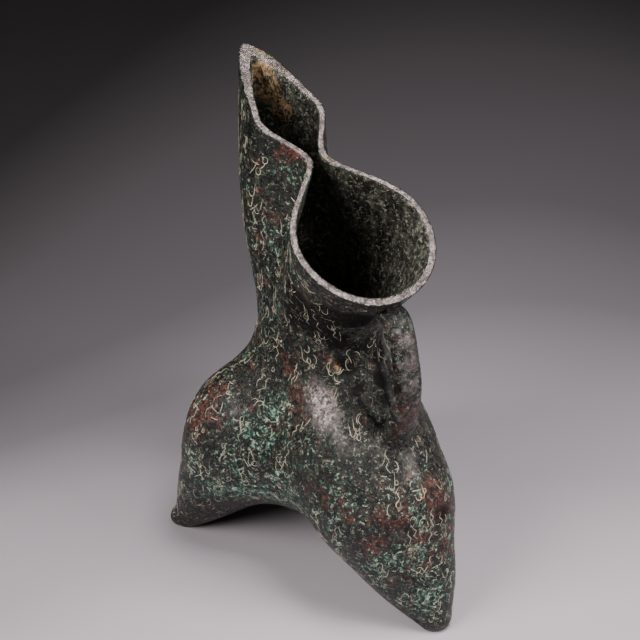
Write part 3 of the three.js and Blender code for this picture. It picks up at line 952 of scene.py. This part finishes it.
class Shading:
    """Short ways to add and join the nodes of one material."""

    def __init__(self, name):
        self.material = bpy.data.materials.new(name)
        self.material.use_nodes = True
        self.tree = self.material.node_tree
        self.surface = self.tree.nodes["Principled BSDF"]
        self.place = self.tree.nodes.new("ShaderNodeTexCoord").outputs["Object"]

    def join(self, value, socket):
        """A socket takes another node's output, a colour or a number."""
        if isinstance(value, bpy.types.NodeSocket):
            self.tree.links.new(value, socket)
        elif isinstance(value, tuple) and len(value) == 3 and socket.type == "RGBA":
            socket.default_value = value + (1,)
        else:
            socket.default_value = value

    def finish(self, name, value):
        """Gives the surface a value for one of its properties."""
        self.join(value, self.surface.inputs[name])

    def stretched(self, x, y, z):
        """The place on the object with its axes scaled."""
        node = self.tree.nodes.new("ShaderNodeMapping")
        node.inputs["Scale"].default_value = (x, y, z)
        self.join(self.place, node.inputs["Vector"])
        return node.outputs["Vector"]

    def noise(self, period, detail=4, roughness=0.55, distortion=0.0, vector=None):
        """Noise with a period in millimetres."""
        node = self.tree.nodes.new("ShaderNodeTexNoise")
        node.inputs["Scale"].default_value = 1 / (period * MM)
        node.inputs["Detail"].default_value = detail
        node.inputs["Roughness"].default_value = roughness
        node.inputs["Distortion"].default_value = distortion
        self.join(vector or self.place, node.inputs["Vector"])
        return node.outputs["Fac"]

    def cells(self, period):
        """Distance to the middle of the nearest of many cells about a period in size."""
        node = self.tree.nodes.new("ShaderNodeTexVoronoi")
        node.inputs["Scale"].default_value = 1 / (period * MM)
        self.join(self.place, node.inputs["Vector"])
        return node.outputs["Distance"]

    def value(self, name):
        """A number kept with the vertices of the mesh."""
        node = self.tree.nodes.new("ShaderNodeAttribute")
        node.attribute_name = name
        return node.outputs["Fac"]

    def math(self, operation, a, b=0.0, c=0.0):
        node = self.tree.nodes.new("ShaderNodeMath")
        node.operation = operation
        self.join(a, node.inputs[0])
        self.join(b, node.inputs[1])
        self.join(c, node.inputs[2])
        return node.outputs[0]

    def times(self, a, b):
        return self.math("MULTIPLY", a, b)

    def times_plus(self, a, b, c):
        return self.math("MULTIPLY_ADD", a, b, c)

    def ramp(self, value, low, high, to_low=0.0, to_high=1.0):
        """A soft step from to_low at low to to_high at high."""
        node = self.tree.nodes.new("ShaderNodeMapRange")
        node.interpolation_type = "SMOOTHSTEP"
        self.join(value, node.inputs["Value"])
        self.join(low, node.inputs["From Min"])
        self.join(high, node.inputs["From Max"])
        self.join(to_low, node.inputs["To Min"])
        self.join(to_high, node.inputs["To Max"])
        return node.outputs["Result"]

    def blend(self, share, a, b):
        """Colour a where the share is 0, colour b where it is 1."""
        node = self.tree.nodes.new("ShaderNodeMix")
        node.data_type = "RGBA"
        self.join(share, node.inputs[0])
        self.join(a, node.inputs[6])
        self.join(b, node.inputs[7])
        return node.outputs[2]

    def bump(self, height, depth):
        """Bump of a height from 0 to 1, with its depth in millimetres."""
        node = self.tree.nodes.new("ShaderNodeBump")
        node.inputs["Distance"].default_value = depth * MM
        self.join(height, node.inputs["Height"])
        return node.outputs["Normal"]


def patinated_bronze():
    """Dark green-black bronze with cuprite, verdigris, polished places under a painted highlight,
    painted shade and a worn lip.
    """
    s = Shading("patinated_bronze")
    lip = s.value("lip")
    inside = s.value("inside")
    handle = s.value("handle")
    painted_groove_shade = s.value("painted_groove_shade")
    rust = s.value("rust")
    streaks = s.noise(3.2, 6, 0.7, 0.3, s.stretched(1, 1, 0.22))
    broad = s.noise(30, 5, 0.6)
    middle = s.noise(8, 8, 0.72)
    fine = s.noise(2.0, 6, 0.72)
    grain = s.noise(0.9, 4, 0.7)
    flecks = s.noise(2.3, 5, 0.7, 0.8)

    # Green-black ground, streaked along the neck and finely grained
    # Places of painted shade, and the rest of the surface outside them
    smooth_and_shade = s.value("smooth_and_shade")
    unshaded = s.ramp(smooth_and_shade, 0.15, 0.55, 1.0, 0.0)
    colour = s.blend(s.ramp(middle, 0.42, 0.60), (0.004, 0.005, 0.005), (0.020, 0.021, 0.017))
    colour = s.blend(s.ramp(streaks, 0.54, 0.64, 0, 0.75), colour, (0.068, 0.080, 0.056))
    colour = s.blend(s.ramp(fine, 0.55, 0.64, 0, 0.65), colour, (0.090, 0.074, 0.055))
    colour = s.blend(s.ramp(flecks, 0.585, 0.635, 0, 0.75), colour, (0.36, 0.35, 0.27))
    colour = s.blend(s.ramp(flecks, 0.40, 0.46, 0.8, 0), colour, (0.004, 0.004, 0.004))

    # Red-brown cuprite
    cuprite = s.times_plus(s.value("cuprite"), 0.20, s.noise(12, 9, 0.74, 0.4))
    cuprite_share = s.ramp(cuprite, 0.545, 0.64, 0, 0.9)
    cuprite_share = s.times(cuprite_share, s.ramp(flecks, 0.40, 0.52, 0.35, 1.0))
    cuprite_share = s.times(cuprite_share, s.ramp(inside, 0, 1, 1, 0.3))
    red = s.blend(s.ramp(flecks, 0.44, 0.56), (0.016, 0.006, 0.005), (0.115, 0.032, 0.022))
    red = s.blend(s.ramp(grain, 0.58, 0.66, 0, 0.8), red, (0.36, 0.200, 0.150))
    colour = s.blend(cuprite_share, colour, red)

    # Worm-like turquoise crust in patches, with pale crumbs
    worms = s.noise(3.0, 6, 0.66, 1.3)
    crust = s.times_plus(s.value("verdigris"), 0.145, worms)
    crust = s.times_plus(s.math("SUBTRACT", broad, 0.5), 0.34, crust)
    crust_share = s.ramp(crust, 0.590, 0.640)
    crust_share = s.times(crust_share, s.ramp(inside, 0, 1, 1, 0.5))
    crust_share = s.times(crust_share, s.times_plus(unshaded, 0.85, 0.15))
    crust_share = s.times(crust_share, s.ramp(handle, 0, 1, 1, 0.45))
    green = s.blend(s.ramp(flecks, 0.42, 0.58), (0.014, 0.065, 0.048), (0.210, 0.400, 0.290))
    green = s.blend(s.ramp(flecks, 0.55, 0.61), green, (0.64, 0.70, 0.53))
    colour = s.blend(s.times(crust_share, 0.9), colour, green)

    # Polished places: smoother, more metallic bronze under a painted highlight in pale pinkish colour
    polish_and_highlight = s.times_plus(s.math("SUBTRACT", middle, 0.5), 1.1, s.value("polish_and_highlight"))
    polish_and_highlight = s.ramp(polish_and_highlight, 0.15, 1.0)
    polish_and_highlight = s.times(polish_and_highlight, s.ramp(fine, 0.40, 0.48, 0.55, 1.0))
    polish_and_highlight = s.times(polish_and_highlight, s.ramp(crust_share, 0, 1, 1, 0.35))
    polished_highlight = s.blend(s.ramp(flecks, 0.42, 0.62), (0.150, 0.118, 0.112), (0.330, 0.275, 0.265))
    colour = s.blend(s.times(polish_and_highlight, 0.85), colour, polished_highlight)

    # Painted shade: nearly black colour under the rim, on and behind the handle, at the near edge and at
    # the rear foot
    painted_shade_share = s.ramp(fine, 0.45, 0.70, 0.9, 0.6)
    painted_shade_share = s.times(s.math("SUBTRACT", 1.0, unshaded), painted_shade_share)
    colour = s.blend(painted_shade_share, colour, (0.007, 0.006, 0.006))

    # The handle is worn grey over its dark ground
    worn = s.times(handle, s.ramp(s.noise(5.0, 8, 0.74), 0.50, 0.62, 0, 0.6))
    colour = s.blend(worn, colour, (0.19, 0.185, 0.175))

    # Painted shade in the crease and round the knob's foot, and orange-brown rust with dark cracks
    groove_shade_share = s.times(painted_groove_shade, s.ramp(fine, 0.40, 0.60, 0.75, 0.3))
    colour = s.blend(groove_shade_share, colour, (0.008, 0.007, 0.008))
    bent = s.stretched(1, 1, 0.6)
    cracks = s.ramp(s.noise(2.6, 5, 0.7, 1.0, bent), 0.40, 0.50)
    orange = s.blend(s.ramp(fine, 0.38, 0.62), (0.230, 0.145, 0.075), (0.600, 0.410, 0.230))
    orange = s.blend(cracks, (0.010, 0.008, 0.007), orange)
    rust_share = s.times(s.ramp(rust, 0.2, 0.6), s.ramp(middle, 0.38, 0.52))
    colour = s.blend(rust_share, colour, orange)

    # The hollow is greenish grey, finely mottled
    hollow = s.blend(s.ramp(middle, 0.42, 0.60), (0.010, 0.010, 0.008), (0.055, 0.056, 0.043))
    hollow = s.blend(s.ramp(streaks, 0.50, 0.60, 0, 0.85), hollow, (0.125, 0.122, 0.092))
    hollow = s.blend(s.ramp(flecks, 0.55, 0.61, 0, 0.9), hollow, (0.34, 0.325, 0.265))
    hollow = s.blend(s.ramp(flecks, 0.40, 0.46, 0.8, 0), hollow, (0.006, 0.006, 0.005))
    hollow_share = s.times(inside, s.math("SUBTRACT", 0.85, rust_share))
    colour = s.blend(s.ramp(hollow_share, 0, 0.85, 0, 0.8), colour, hollow)

    # Pale specks
    speck = s.math("LESS_THAN", s.cells(2.2), s.ramp(s.noise(13, 5, 0.7), 0.42, 0.66, 0.02, 0.22))
    speck_share = s.times(s.times(speck, unshaded), 0.6)
    colour = s.blend(speck_share, colour, (0.40, 0.41, 0.33))

    # Worn lip, pinkish silver with fine dark specks
    silver = s.blend(s.ramp(s.noise(6, 7, 0.72), 0.42, 0.60), (0.43, 0.360, 0.345), (0.22, 0.180, 0.175))
    silver = s.blend(s.ramp(s.noise(12, 4, 0.6), 0.56, 0.68, 0, 0.6), silver, (0.34, 0.28, 0.15))
    dark_specks = s.ramp(s.noise(1.8, 5, 0.72), 0.46, 0.56)
    silver = s.blend(s.times(dark_specks, 0.75), silver, (0.075, 0.058, 0.055))
    lip_wear = s.times_plus(s.math("SUBTRACT", fine, 0.5), 0.9, lip)
    lip_share = s.ramp(lip_wear, 0.48, 0.72)
    # Lighter lip colour at the spout's tip
    silver = s.blend(s.ramp(lip, 1.0, 1.1), silver, (0.62, 0.54, 0.51))
    colour = s.blend(lip_share, colour, silver)

    s.finish("Base Color", colour)
    roughness = s.ramp(fine, 0.38, 0.62, 0.22, 0.46)
    roughness = s.times_plus(crust_share, 0.30, roughness)
    roughness = s.times_plus(inside, 0.10, roughness)
    roughness = s.times_plus(polish_and_highlight, -0.06, roughness)
    roughness = s.math("ADD", roughness, s.ramp(unshaded, 0, 1, 0.18, 0.0))
    s.finish("Specular IOR Level", s.ramp(unshaded, 0, 1, 0.06, 0.50))
    s.finish("Roughness", roughness)
    metal = s.times_plus(crust_share, -0.35, 0.38)
    metal = s.times_plus(s.math("MAXIMUM", lip_share, polish_and_highlight), 0.30, metal)
    metal = s.times(metal, s.times_plus(unshaded, 0.8, 0.2))
    s.finish("Metallic", metal)
    height = s.times_plus(fine, 0.9, s.times(middle, 0.5))
    height = s.times_plus(grain, 0.35, height)
    height = s.times_plus(crust_share, 0.30, height)
    height = s.times(height, s.times_plus(unshaded, 0.7, 0.3))
    height = s.times(height, s.times_plus(polish_and_highlight, -0.55, 1.0))
    s.finish("Normal", s.bump(height, 0.75))
    return s.material


def stroke_filling():
    """Cream filling of the incised marks, faded in places and painted dark where they lie in the
    polished places' painted highlight.
    """
    s = Shading("stroke_filling")
    worn = s.noise(4.2, 6, 0.68)
    shade = s.value("shade")
    cream = s.blend(s.ramp(shade, 0, 1), (0.56, 0.50, 0.36), (0.36, 0.35, 0.26))
    cream = s.blend(s.ramp(worn, 0.50, 0.62, 0, 0.85), cream, (0.060, 0.058, 0.046))
    scratch = s.blend(s.ramp(worn, 0.40, 0.56), (0.20, 0.27, 0.20), (0.030, 0.040, 0.032))
    scratch = s.blend(s.ramp(shade, 2.0, 2.1), scratch, (0.17, 0.12, 0.09))
    colour = s.blend(s.ramp(shade, 1.1, 1.4), cream, scratch)
    # Painted shade: the strokes go dark inside the painted highlight
    colour = s.blend(s.ramp(s.value("polish_and_highlight"), 0.35, 0.60), colour, (0.024, 0.020, 0.019))
    s.finish("Base Color", colour)
    s.finish("Roughness", s.ramp(worn, 0.3, 0.7, 0.50, 0.70))
    s.finish("Normal", s.bump(s.noise(0.8, 4, 0.6), 0.10))
    return s.material


# Painted fall-off of light on the paper: greys, each with its share of the way from near to far
FLOOR_FALLOFF_SHADES = (
    (0.00, 0.480), (0.06, 0.410), (0.11, 0.330), (0.19, 0.290), (0.30, 0.150),
    (0.44, 0.092), (0.57, 0.086), (0.70, 0.077), (0.80, 0.060), (1.00, 0.028),
)


def floor_paper():
    """Pale lilac-grey paper with painted fall-off of light, darker towards its far end and its sides."""
    s = Shading("floor_paper")
    split = s.tree.nodes.new("ShaderNodeSeparateXYZ")
    s.join(s.place, split.inputs[0])
    x = split.outputs[0]
    y = split.outputs[1]
    away = s.times_plus(x, -0.843, s.times(y, 0.538))
    aside = s.times_plus(x, 0.538, s.times_plus(y, 0.843, -0.13))
    reach = s.ramp(away, 0.0, 0.30, 1.1, 3.0)
    shade = s.times_plus(s.times(aside, aside), reach, away)
    shade = s.math("ADD", shade, 0.06)
    ramp = s.tree.nodes.new("ShaderNodeValToRGB")
    bands = ramp.color_ramp.elements
    while len(bands) < len(FLOOR_FALLOFF_SHADES):
        bands.new(0.5)
    for band, (place, grey) in zip(bands, FLOOR_FALLOFF_SHADES):
        band.position = place
        band.color = (grey, grey * 0.905, grey * 0.985, 1)
    s.join(shade, ramp.inputs[0])
    s.finish("Base Color", ramp.outputs[0])
    s.finish("Roughness", 0.7)
    s.finish("Specular IOR Level", 0.15)
    return s.material


def build_floor():
    """The paper, a large flat sheet."""
    size = 3.0
    corners = [(-size, -size, 0), (size, -size, 0), (size, size, 0), (-size, size, 0)]
    mesh = make_mesh("floor", corners, [(0, 1, 2, 3)])
    mesh.materials.append(floor_paper())
    floor = add_object("floor", mesh)


def add_light(name, place, target, size, power, colour, spread):
    """A soft box at a place in metres, aimed at a target."""
    data = bpy.data.lights.new(name, "AREA")
    data.shape = "RECTANGLE"
    data.size = size[0]
    data.size_y = size[1]
    data.energy = power
    data.color = colour
    data.spread = math.radians(spread)
    light = add_object(name, data)
    light.location = place
    light.rotation_euler = (Vector(target) - Vector(place)).to_track_quat("-Z", "Y").to_euler()


def build_lights():
    """A large soft box beside the vessel, one behind the handle, one overhead, a dark room."""
    add_light("key_softbox", (0.00, -0.72, 0.72), (0.02, 0.0, 0.10),
              (0.55, 0.45), 7.5, (1, 0.975, 0.95), 150)
    add_light("back_softbox", (0.72, 0.50, 0.66), (0.0, 0.0, 0.10),
              (0.40, 0.32), 4.8, (1, 0.98, 0.97), 140)
    add_light("overhead", (0.14, 0.10, 1.00), (0.06, 0.02, 0.0),
              (0.28, 0.28), 5.0, (1, 0.99, 0.98), 140)
    world = bpy.data.worlds.new("dark_room")
    world.use_nodes = True
    room = world.node_tree.nodes["Background"]
    room.inputs["Color"].default_value = (0.020, 0.019, 0.022, 1)
    bpy.context.scene.world = world


def build_camera():
    """The view down over the rear leg and the handle."""
    data = bpy.data.cameras.new("camera")
    data.sensor_width = 36
    data.lens = 84.69
    data.clip_start = 0.05
    data.clip_end = 20
    camera = add_object("camera", data)
    camera.location = (0.5322, -0.3531, 0.6030)
    forward = Vector((-0.6879, 0.4390, -0.5781))
    camera.rotation_euler = forward.to_track_quat("-Z", "Y").to_euler()
    bpy.context.scene.camera = camera


casting, skin_points, skin_tree = build_casting()
casting.data.materials.append(patinated_bronze())
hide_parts("vessel")
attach(casting, "root")

marks = build_marks(skin_points, skin_tree)
marks.data.materials.append(stroke_filling())
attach(marks, "root")

build_floor()
build_lights()
build_camera()
